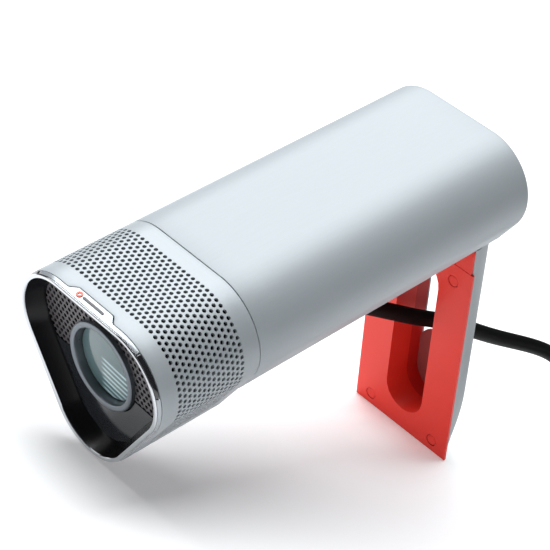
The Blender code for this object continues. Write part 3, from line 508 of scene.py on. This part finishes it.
def smooth_route(points, spacing):
    """Even points on a Catmull-Rom curve through the given ones."""
    p = np.array(points)
    p = np.vstack([2 * p[0] - p[1], p, 2 * p[-1] - p[-2]])
    t = np.linspace(0.0, 1.0, 24, endpoint=False)[None, :, None]
    a, b, c, d = (p[k:len(p) - 3 + k, None] for k in range(4))
    fine = 0.5 * (2 * b + (c - a) * t + (2 * a - 5 * b + 4 * c - d) * t ** 2
                  + (3 * b - a - 3 * c + d) * t ** 3)
    fine = np.vstack([fine.reshape(-1, 3), p[-2]])
    run = np.concatenate([[0.0], np.cumsum(np.linalg.norm(np.diff(fine, axis=0), axis=1))])
    stations = np.linspace(0.0, run[-1], max(2, int(run[-1] / spacing)) + 1)
    return np.stack([np.interp(stations, run, fine[:, k]) for k in range(3)], axis=1)


def make_cable():
    """A round bar along the lead, the coil and the tail."""
    line = smooth_route(np.vstack([CABLE_ROUTE, coil_points(), tail_points()]), 3.0 * MM)
    curve = bpy.data.curves.new("cable_run", "CURVE")
    curve.dimensions = "3D"
    curve.bevel_depth = CABLE_R
    curve.bevel_resolution = 5
    curve.use_fill_caps = True
    curve.materials.append(RUBBER)
    spline = curve.splines.new("POLY")
    spline.points.add(len(line) - 1)
    spline.points.foreach_set("co", np.hstack([line, np.ones((len(line), 1))]).ravel())
    spline.use_smooth = True
    obj = bpy.data.objects.new("cable_run", curve)
    bpy.context.scene.collection.objects.link(obj)
    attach(obj, "camera")
    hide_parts("cable", "cable_coil", "cable_tail")


make_cable()


# --- front sleeve ----------------------------------------------------------------------------
HOLES_ROUND = 92
HOLE_PITCH = ROUND / HOLES_ROUND
ROW_STEP = HOLE_PITCH * math.sqrt(3.0) / 2.0
HOLE_ROWS = 14
FIRST_ROW_Y = 10.27 * MM
ROW_SQUEEZE = 0.975                # rows stand a little closer than a true triangular grid
HOLE_R = 0.83 * MM
SLEEVE_WALL = 1.2 * MM
SLEEVE_START, SLEEVE_END = 2.5 * MM, 45.75 * MM
SLEEVE_NOTCH = (5.15 * MM, 9.0 * MM, 12.9 * MM)     # depth, and the shoulders' two ends
PIERCED_ABOVE_Z = -52.0 * MM


def hex_cells(centres, pierced, pitch, hole_r, outer, inner):
    """Hexagonal cells that tile a sheet. A pierced one is a ring of quads round a 12-sided hole
    on both faces, with a wall between; a plain one is a 12-gon on both faces."""
    k = np.arange(12)
    turn = np.radians(30.0 * k)
    edge = np.where(k % 2 == 0, pitch / 2.0, pitch / math.sqrt(3.0))
    way = np.stack([np.cos(turn), np.sin(turn)], axis=1)
    outline = centres[:, None] + way * edge[:, None]
    hole = centres[:, None] + way * hole_r
    layers = [outer(outline), outer(hole), inner(outline), inner(hole)]
    points = np.stack(layers, axis=1).reshape(-1, 3)
    j = np.roll(k, -1)
    ring = np.concatenate([np.stack([k, j, 12 + j, 12 + k], 1),
                           np.stack([24 + j, 24 + k, 36 + k, 36 + j], 1),
                           np.stack([12 + k, 12 + j, 36 + j, 36 + k], 1)])
    base = 48 * np.arange(len(centres))
    faces = (base[pierced, None, None] + ring).reshape(-1, 4).tolist()
    plain = base[~pierced, None]
    faces += (plain + k).tolist() + (plain + 24 + k[::-1]).tolist()
    return points, faces


def tab_edge(s, plain, tab):
    """Rear edge of the trim, or front edge of the sleeve: a flat-topped tab with S-shaped
    shoulders in the middle of the top."""
    return tab[0] + (plain - tab[0]) * ease(from_middle(s), tab[1], tab[2])


def make_sleeve():
    """The pierced sheet, and a plain strip from each saw-toothed end of it to a rounded edge."""
    rows = np.arange(HOLE_ROWS)
    centres = np.stack(np.meshgrid(np.arange(HOLES_ROUND) * HOLE_PITCH, rows * ROW_STEP), axis=-1)
    centres[1::2, :, 0] += HOLE_PITCH / 2.0
    centres = centres.reshape(-1, 2)
    pierced = skin(centres[:, 0], 0.0, 0.0)[:, 2] > PIERCED_ABOVE_Z

    def sheet_at(inset):
        return lambda p: skin(p[..., 0], FIRST_ROW_Y + p[..., 1] * ROW_SQUEEZE, inset)

    parts = [hex_cells(centres, pierced, HOLE_PITCH, HOLE_R, sheet_at(0.0), sheet_at(SLEEVE_WALL))]
    count = 4 * HOLES_ROUND
    s = np.arange(count) * HOLE_PITCH / 4.0
    saw = ROW_SQUEEZE * HOLE_PITCH / math.sqrt(3.0) * np.array([1.0, 0.75, 0.5, 0.75])
    front_saw = FIRST_ROW_Y - np.tile(saw, HOLES_ROUND)
    last_row_y = FIRST_ROW_Y + (HOLE_ROWS - 1) * ROW_STEP * ROW_SQUEEZE
    back_saw = last_row_y + np.tile(np.roll(saw, 2 * ((HOLE_ROWS - 1) % 2)), HOLES_ROUND)
    edge = tab_edge(s, SLEEVE_START, SLEEVE_NOTCH)
    r = 0.35 * MM
    for zig, end, way in ((front_saw, edge, 1.0), (back_saw, np.full(count, SLEEVE_END), -1.0)):
        near, mid = end + way * r, (zig + end) / 2.0
        y = np.stack([zig, mid, near, end + way * r * 0.3, end, end, zig])
        inset = np.array([0.0, 0.0, 0.0, r * 0.3, r, SLEEVE_WALL, SLEEVE_WALL])[:, None]
        parts.append((skin(s[None, :], y, inset), grid_cells(7, count, False, True)))
    solid("sleeve_perforated", parts, SLEEVE, "camera", ["front_sleeve"], 32.0)


make_sleeve()


# --- rear shell, rim and sensor windows ---------------------------------------------------------
def make_rear_shell():
    """The section open below the flat underside: a closed (y, inset) wall profile carried from
    one lower edge over the top to the other, with both ends closed."""
    start, end = SEAM_Y + 0.12 * MM, BODY_LENGTH
    wall, crown_r = 1.5 * MM, 1.8 * MM
    a = np.linspace(0.0, math.pi / 2.0, 7)
    crown = np.stack([end - crown_r + crown_r * np.sin(a), crown_r * (1.0 - np.cos(a))], 1)
    profile = np.concatenate([
        [(start, wall), (start, 0.3 * MM), (start + 0.09 * MM, 0.09 * MM), (start + 0.3 * MM, 0.0)],
        np.stack([np.linspace(start + 10 * MM, end - 10 * MM, 6), np.zeros(6)], 1), crown,
        [(end, 3.2 * MM), (end - 0.3 * MM, 3.4 * MM), (end - 1.2 * MM, 3.4 * MM),
         (end - 1.2 * MM, wall)]])
    reach = down_flank(FLAT_Z)
    s = np.concatenate([np.linspace(-reach, -WALK[2], 8, endpoint=False),
                        np.linspace(-WALK[2], WALK[2], 120), np.linspace(WALK[2], reach, 9)[1:]])
    points = skin(s[:, None], profile[None, :, 0], profile[None, :, 1])
    solid("rear_shell_skin", [(points, capped(len(s), len(profile)))], SILVER, "camera",
          ["rear_shell"])


make_rear_shell()


WINDOW_SPAN = [LOBE_X + LOBE_R * math.radians(a) for a in (29.0, 73.0)]
LIP_END = 0.62 * MM
BAND_START, BAND_END = 0.78 * MM, 2.25 * MM
BAND_TAB = (4.85 * MM, 8.6 * MM, 12.6 * MM)
BAND_DEEP = 1.3 * MM
BAND_TAPER = 0.35 * MM             # the band leans in by this at its front edge
WINDOW_POCKET = 0.9 * MM


def in_window(s):
    """1 inside the stretch of the corner that holds a sensor window, with soft ends."""
    across, room, soft = from_middle(s), 0.12 * MM, 0.25 * MM
    low, high = WINDOW_SPAN[0] - room, WINDOW_SPAN[1] + room
    return ease(across, low - soft, low) * (1.0 - ease(across, high, high + soft))


def make_rim():
    """Chrome lip at the very front, a hairline groove, then the satin band with its tab. A dark
    hoop fills the groove, and another backs the seam behind the band."""
    lip = rounded([(0.0, 0.75 * MM), (LIP_END, 0.45 * MM), (LIP_END, 2.2 * MM),
                   (0.15 * MM, 1.95 * MM)], [0.28 * MM, 0.06 * MM, 0.0, 0.35 * MM], 5)
    solid("rim_lip", [hoop(lip, 368)], CHROME, "camera", ["rim_trim"])
    s = np.linspace(0.0, ROUND, 736, endpoint=False)
    start, end = np.full(len(s), BAND_START), tab_edge(s, BAND_END, BAND_TAB)
    pocket, deep = in_window(s) * WINDOW_POCKET, np.full(len(s), BAND_DEEP)
    front, r = pocket + BAND_TAPER, 0.15 * MM
    y = np.stack([start, start, start + 0.3 * r, start + r, end - r, end - 0.3 * r, end, end])
    inset = np.stack([deep, front + r, front + 0.3 * r, front, pocket + 0.05 * MM,
                      pocket + 0.3 * r, pocket + r, deep])
    band = (skin(s[None, :], y, inset), grid_cells(8, len(s), True, True))
    solid("rim_band", [band], TRIM, "camera")
    for name, (front, top), (back, low) in (("rim_groove", (0.55, 0.85), (0.9, 2.0)),
                                            ("rim_backing", (0.95, 1.35), (5.6, 1.9))):
        profile = np.array([(front, top), (back, top), (back, low), (front, low)]) * MM
        solid(name, [hoop(profile)], MATT, "camera")


make_rim()


def make_sensor_window(side, sign):
    """Dark inlay over the corner of the rim: a pillow grid in (s, y), edges turned down."""
    s = sign * np.linspace(WINDOW_SPAN[0], WINDOW_SPAN[1], 49)
    y = np.array([0.72, 0.72, 0.76, 0.86, 1.98, 2.08, 2.12, 2.12]) * MM
    inset = np.array([1.18, 0.53, 0.40, 0.34, 0.04, 0.08, 0.18, 1.18]) * MM
    soft, drop = 0.3 * MM, 0.25 * MM
    ends = ease(np.abs(s - s[0]), 0.0, soft) * ease(np.abs(s - s[-1]), 0.0, soft)
    inset = np.minimum(inset[None, :] + (1.0 - ends[:, None]) * drop, inset.max())
    points = skin(s[:, None], y[None, :], inset)
    solid("sensor_inlay_" + side, [(points, capped(len(s), len(y)))], GLOSS, "camera",
          ["sensor_window_" + side])


make_sensor_window("left", -1.0)
make_sensor_window("right", 1.0)


def make_mark():
    """A plain small ring and a plain bar on the tab, standing a little above it."""
    raised, sunk, steps = 0.09 * MM, -0.2 * MM, 40
    inner, outer, ring_x, ring_y = 0.62 * MM, 1.3 * MM, -6.6 * MM, 2.9 * MM
    a = np.linspace(0.0, 2.0 * math.pi, steps, endpoint=False)
    profile = np.array([(inner, sunk), (inner, raised), (outer, raised), (outer, sunk)])
    points = np.stack([ring_x + profile[:, :1] * np.cos(a), ring_y + profile[:, :1] * np.sin(a),
                       np.repeat(profile[:, 1:], steps, 1)], axis=-1)
    solid("tab_dot", [(points, grid_cells(4, steps, True, True))], MARK_RED, "camera")
    outline = rounded([(-4.6, 2.45), (6.4, 2.45), (6.4, 3.35), (-4.6, 3.35)], 0.4, 4) * MM
    solid("tab_bar", [slab(outline, raised, sunk)], MARK_DARK, "camera")


make_mark()


# --- hood, microphone mesh and baffle -------------------------------------------------------------
def make_hood():
    """Glossy funnel from behind the lip to the baffle; its face is a shallow curve in (y, inset)."""
    front_y, front_inset, back_y = 0.6 * MM, 2.1 * MM, 9.0 * MM
    t = np.linspace(0.0, 1.0, 9)
    face = np.stack([front_y + t * (BAFFLE_Y - 0.4 * MM),
                     front_inset + (HOOD_INSET - front_inset) * (0.75 * t + 0.25 * t * t)], 1)
    back = [(back_y, HOOD_INSET), (back_y, 2.3 * MM), (1.2 * MM, 2.25 * MM)]
    solid("hood_funnel", [hoop(np.concatenate([face, back]), 368)], HOOD, "camera",
          ["hood"])


make_hood()


def inside_section(x, z, inset):
    """How far inside the inset section a point lies: its reach less the distance to the triangle
    of the three circles' middles."""
    x, up = np.abs(x), z - KEEL_Z
    rise = -LOBE_R - KEEL_Z
    t = np.clip((x * LOBE_X + up * rise) / FLANK ** 2, 0.0, 1.0)
    near = np.hypot(x - t * LOBE_X, up - t * rise)
    near = np.where((x * rise < up * LOBE_X) & (z < -LOBE_R), 0.0, near)
    near = np.where((x < LOBE_X) & (z >= -LOBE_R), np.abs(z + LOBE_R), near)
    return LOBE_R - inset - near


def make_front_mesh():
    """Thin dark sheet with round holes on a triangular grid, round the lens and above the baffle.
    Its two faces are joined along the outer edge."""
    pitch, hole_r, thick = 2.45 * MM, 0.8 * MM, 0.5 * MM
    step = pitch * math.sqrt(3.0) / 2.0
    across, down = np.arange(-16, 17), np.arange(-2, 18)
    x, z = np.meshgrid(across * pitch, -6.0 * MM - down * step)
    x[1::2] += pitch / 2.0
    centres = np.stack([x.ravel(), z.ravel()], 1)
    radius = np.hypot(centres[:, 0], centres[:, 1] - LENS_Z)
    keep = ((inside_section(centres[:, 0], centres[:, 1], HOOD_INSET) > -1.1 * MM)
            & (radius > 15.9 * MM) & (centres[:, 1] > MESH_FOOT_Z - 0.9 * MM))
    centres = centres[keep]
    front = BAFFLE_Y + 0.35 * MM

    def sheet_at(depth):
        return lambda p: np.stack([p[..., 0], np.full(p.shape[:-1], depth), p[..., 1]], -1)

    points, faces = hex_cells(centres, np.ones(len(centres), bool), pitch, hole_r,
                              sheet_at(front), sheet_at(front + thick))
    obj = solid("mesh_sheet", [(points, faces)], MESH, "camera", ["front_mesh"])
    bm = bmesh.new()
    bm.from_mesh(obj.data)
    rim = [e for e in bm.edges if e.is_boundary]
    bmesh.ops.bridge_loops(bm, edges=rim)
    bmesh.ops.recalc_face_normals(bm, faces=bm.faces)
    bm.to_mesh(obj.data)
    bm.free()


make_front_mesh()


def make_baffle():
    """Lower wall round the lens: lines drawn from the ring's circle out to the hood's foot, over
    the part of the turn below the mesh, given thickness front to back."""
    foot = MESH_FOOT_Z - 0.1 * MM
    ring_r = 17.9 * MM
    low = math.asin((foot - LENS_Z) / ring_r)
    turn = np.linspace(low, -math.pi - low, 121)
    inner = np.stack([ring_r * np.cos(turn), LENS_Z + ring_r * np.sin(turn)], 1)
    s_right = down_flank(foot, HOOD_INSET)
    s = np.linspace(s_right, ROUND - s_right, 121)
    outer = skin(s, 0.0, HOOD_INSET - 0.3 * MM)[:, [0, 2]]
    t = np.linspace(0.0, 1.0, 6)[:, None, None]
    sheet = inner * (1 - t) + outer * t
    front = np.insert(sheet, 1, BAFFLE_Y, axis=-1)
    back = front + [0.0, 1.6 * MM, 0.0]
    loops = np.swapaxes(np.concatenate([front, back[::-1]]), 0, 1)
    solid("baffle_lower", [(loops, capped(*loops.shape[:2]))], BAFFLE, "camera",
          ["lower_baffle"])


make_baffle()


# --- lens group -----------------------------------------------------------------------------------
def make_lens():
    """The ring round the window, the dark shroud behind it, and the window's shallow dome. All
    three are (radius, y) profiles in millimetres, turned about the lens axis."""
    ring = rounded([(16.7, 5.6), (17.4, 6.0), (17.4, 10.4), (14.8, 10.4), (14.8, 6.9), (15.1, 5.9)],
                   [0.3, 0.3, 0.1, 0.1, 0.4, 0.3], 4) * MM
    solid("shutter_ring_turned", [turned(ring, 144)], RING, "shutter_ring",
          ["lens_ring"], 50.0)
    shroud = [(17.3, 10.7), (17.3, 14.4), (13.9, 14.4), (13.9, 11.2), (13.0, 11.2), (13.2, 10.95),
              (14.9, 10.7)]
    solid("lens_shroud_turned", [turned(np.array(shroud) * MM)], GLOSS, "camera",
          ["lens_shroud"])
    r = np.linspace(0.0, 1.0, 8)
    glass_r, edge_y, back_y, swell = 14.4, 9.3, 10.5, 0.35
    dome = np.stack([glass_r * r, edge_y - swell * (1 - r * r)], 1)
    disc = np.concatenate([dome, [(glass_r, back_y), (0.0, back_y)]]) * MM
    solid("lens_glass", [turned(disc)], GLASS, "camera", ["lens_window"], 50.0)


make_lens()


# --- leg -------------------------------------------------------------------------------------
FACE_Z = -45.3 * MM                # the red face, with the leg folded
HINGE_YZ = (173.4 * MM, -50.3 * MM)
LEG_TURN = math.radians(88.75)     # from folded to open
SLOT_HALF, SLOT_NEAR, SLOT_FAR = 10.5 * MM, 15.7 * MM, 99.7 * MM
LINER_Z = (FACE_Z - 11.5 * MM, FACE_Z - 19.5 * MM)
WEB_Z, WEB_THICK = FACE_Z - 18.4 * MM, 1.0 * MM
CABLE_STRETCH = (41.0 * MM, 67.0 * MM)     # from the hinge: left open for the cable
KEEL_TOP_Z = FACE_Z - 1.2 * MM
BOW_LENGTH = 26.0 * MM             # the flanks rise over this at the foot
CHEEK_SWELL = 2.7 * MM
CHEEK_DEEP = 24.0 * MM             # measured down the flank
CHEEK_FOOT, CHEEK_LENGTH = 109.6 * MM, 113.0 * MM


def opened(points):
    """From where a leg point lies when folded to where it stands: a turn about the hinge."""
    p = np.asarray(points, float)
    dy, dz = p[..., 1] - HINGE_YZ[0], p[..., 2] - HINGE_YZ[1]
    c, s = math.cos(LEG_TURN), math.sin(LEG_TURN)
    return np.stack([p[..., 0], HINGE_YZ[0] + dy * c - dz * s, HINGE_YZ[1] + dy * s + dz * c], -1)


def opening_outline(near, far, half):
    """A stadium along the leg, between two distances from the hinge."""
    a = np.linspace(0.0, math.pi, 25)
    return np.concatenate([
        np.stack([half * np.cos(a), HINGE_YZ[0] - near - half + half * np.sin(a)], 1),
        np.stack([-half * np.cos(a), HINGE_YZ[0] - far + half - half * np.sin(a)], 1)])


def make_slot_liner():
    """Deep inner wall of the leg's long opening, a stadium band in a darker red of painted shade, and
    the two webs that close its back above and below the stretch where the cable and its sleeve pass,
    brownish red sheets of painted shade and painted red reflection."""
    layers = []
    for z, grow in ((LINER_Z[0], 0.1 * MM), (LINER_Z[1], 0.1 * MM), (LINER_Z[1], 0.9 * MM),
                    (LINER_Z[0], 0.9 * MM)):
        shape = opening_outline(SLOT_NEAR - grow, SLOT_FAR + grow, SLOT_HALF + grow)
        layers.append(np.column_stack([shape, np.full(len(shape), z)]))
    band = np.stack(layers)
    solid("leg_slot_liner", [(opened(band), grid_cells(4, band.shape[1], True, True))], SLOT_RED_PAINTED_SHADE,
          "leg")
    lap = 0.5 * MM
    for name, near, far in (("low", CABLE_STRETCH[1], SLOT_FAR + lap),
                            ("high", SLOT_NEAR - lap, CABLE_STRETCH[0])):
        web, faces = slab(opening_outline(near, far, SLOT_HALF + lap), WEB_Z, WEB_Z - WEB_THICK)
        solid("leg_slot_web_" + name, [(opened(web), faces)], WEB_PAINTED_SHADE, "leg")


def make_leg_cheeks():
    """Full sides of the leg: the keel's flanks swell outwards by a half sine across their depth,
    and flatten towards the foot with its quarter-ellipse rise."""
    down = np.linspace(0.0, 1.0, 21)
    swell = CHEEK_SWELL * np.sin(math.pi * down) ** 0.7
    inset = np.concatenate([-swell, np.full(len(down), 0.5 * MM)])
    s = down_flank(KEEL_TOP_Z) + CHEEK_DEEP * np.concatenate([down, down[::-1]])
    bow = BOW_LENGTH * (1.0 - np.cos(np.radians(np.linspace(14.0, 90.0, 12))))
    stations = np.concatenate([bow, np.linspace(BOW_LENGTH, CHEEK_LENGTH, 10)[1:]])
    rise = np.sqrt(1.0 - (1.0 - np.minimum(stations / BOW_LENGTH, 1.0)) ** 2)
    y = HINGE_YZ[0] - CHEEK_FOOT + stations
    for side, sign in (("left", -1.0), ("right", 1.0)):
        swollen = np.where(inset < 0.0, inset * rise[:, None], inset)
        p = skin(sign * s[None, :], y[:, None], swollen)
        p[..., 2] = KEEL_TOP_Z + (p[..., 2] - KEEL_TOP_Z) * rise[:, None]
        solid("leg_cheek_" + side, [(opened(p), capped(*p.shape[:2]))], SILVER, "leg")


# --- pieces whose part shape is right -----------------------------------------------------------
def smoothed(node, name, material, body, sharp=30.0, round_edge=0.0, segments=2):
    """A welded, smooth-shaded copy of a part's solid, with its edges rounded if asked."""
    source = frame["nodes"][node]
    mesh = source.data.copy()
    mesh.name = name
    bm = bmesh.new()
    bm.from_mesh(mesh)
    bmesh.ops.remove_doubles(bm, verts=bm.verts, dist=1e-6)
    bmesh.ops.dissolve_limit(bm, angle_limit=math.radians(0.5), verts=bm.verts, edges=bm.edges)
    bm.to_mesh(mesh)
    bm.free()
    mesh.shade_smooth()
    mesh.set_sharp_from_angle(angle=math.radians(sharp))
    mesh.materials.clear()
    mesh.materials.append(material)
    obj = bpy.data.objects.new(name, mesh)
    bpy.context.scene.collection.objects.link(obj)
    if round_edge > 0.0:
        bevel = obj.modifiers.new("edge", "BEVEL")
        bevel.width = round_edge
        bevel.segments = segments
        bevel.limit_method = "ANGLE"
        bevel.angle_limit = math.radians(sharp)
        bevel.harden_normals = True
    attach(obj, body)
    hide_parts(node)
    return obj


smoothed("leg_shell", "leg_keel", SILVER, "leg")
smoothed("leg_panel", "leg_face", RED, "leg", 40.0, 0.35 * MM, 3)
make_leg_cheeks()
make_slot_liner()
smoothed("hinge_block", "leg_knuckle", RED, "leg", 40.0, 0.25 * MM, 2)
smoothed("cable_gland", "gland_sleeve", RUBBER, "camera", 35.0)
smoothed("coil_tie", "tie_strap", MATT, "camera", 35.0, 0.2 * MM)
smoothed("keel_bulkhead", "keel_wall", SILVER, "camera", 35.0)

CARRIED = {
    "matt_black": MATT, "gloss_black": GLOSS, "steel": STEEL, "circuit_board": BOARD,
    "coated_glass": GLASS, "cable_black": RUBBER, "red_plastic": RED, "grey_metal": RING,
    "satin_silver": SILVER, "chrome_trim": CHROME,
}
for entry in frame["record"]["subparts"]:
    node = frame["nodes"][entry["node"]]
    chosen = FELT if entry["node"] == "sleeve_liner" else CARRIED[entry["material_slot"]]
    node.data.materials.clear()
    node.data.materials.append(chosen)


# --- floor and light -------------------------------------------------------------------------------
def make_floor():
    """A wide disc just under the object."""
    a = np.linspace(0.0, 2.0 * math.pi, 96, endpoint=False)
    radii = np.array([0.4, 1.5, 6.0, 14.0])[:, None]
    points = np.stack([radii * np.cos(a), radii * np.sin(a), np.full((4, 96), -0.0002)], -1)
    mesh = bpy.data.meshes.new("floor")
    mesh.from_pydata(points.reshape(-1, 3).tolist(), [], grid_cells(4, 96, False, True)
                     + [list(range(96))])
    mesh.materials.append(finish("pale_floor", (0.88, 0.88, 0.89), 0.85, fineness=40.0, tone=0.01,
                                 spread=0.03, bump=0.0, Emission_Color=(1.0, 1.0, 1.0, 1.0),
                                 Emission_Strength=0.22))
    obj = bpy.data.objects.new("floor", mesh)
    bpy.context.scene.collection.objects.link(obj)


def make_light(name, at, aim, size, energy, colour=(1.0, 1.0, 1.0)):
    data = bpy.data.lights.new(name, "AREA")
    data.shape = "RECTANGLE"
    data.size, data.size_y = size
    data.energy = energy
    data.color = colour
    obj = bpy.data.objects.new(name, data)
    bpy.context.scene.collection.objects.link(obj)
    way = (Vector(aim) - Vector(at)).to_track_quat("-Z", "Y")
    obj.matrix_world = Matrix.Translation(at) @ way.to_matrix().to_4x4()


make_floor()
make_light("overhead", (-0.7, -0.1, 1.9), (0.0, 0.0, 0.05), (2.4, 2.4), 90.0, (0.97, 0.99, 1.0))
make_light("left_fill", (-1.6, -1.2, 0.9), (0.0, 0.0, 0.05), (1.0, 1.0), 3.0)
world = bpy.data.worlds.new("studio")
world.use_nodes = True
world.node_tree.nodes["Background"].inputs["Color"].default_value = (0.93, 0.96, 1.0, 1.0)
world.node_tree.nodes["Background"].inputs["Strength"].default_value = 0.1
bpy.context.scene.world = world
bpy.context.scene.view_settings.view_transform = "Standard"
bpy.context.scene.view_settings.exposure = 0.0
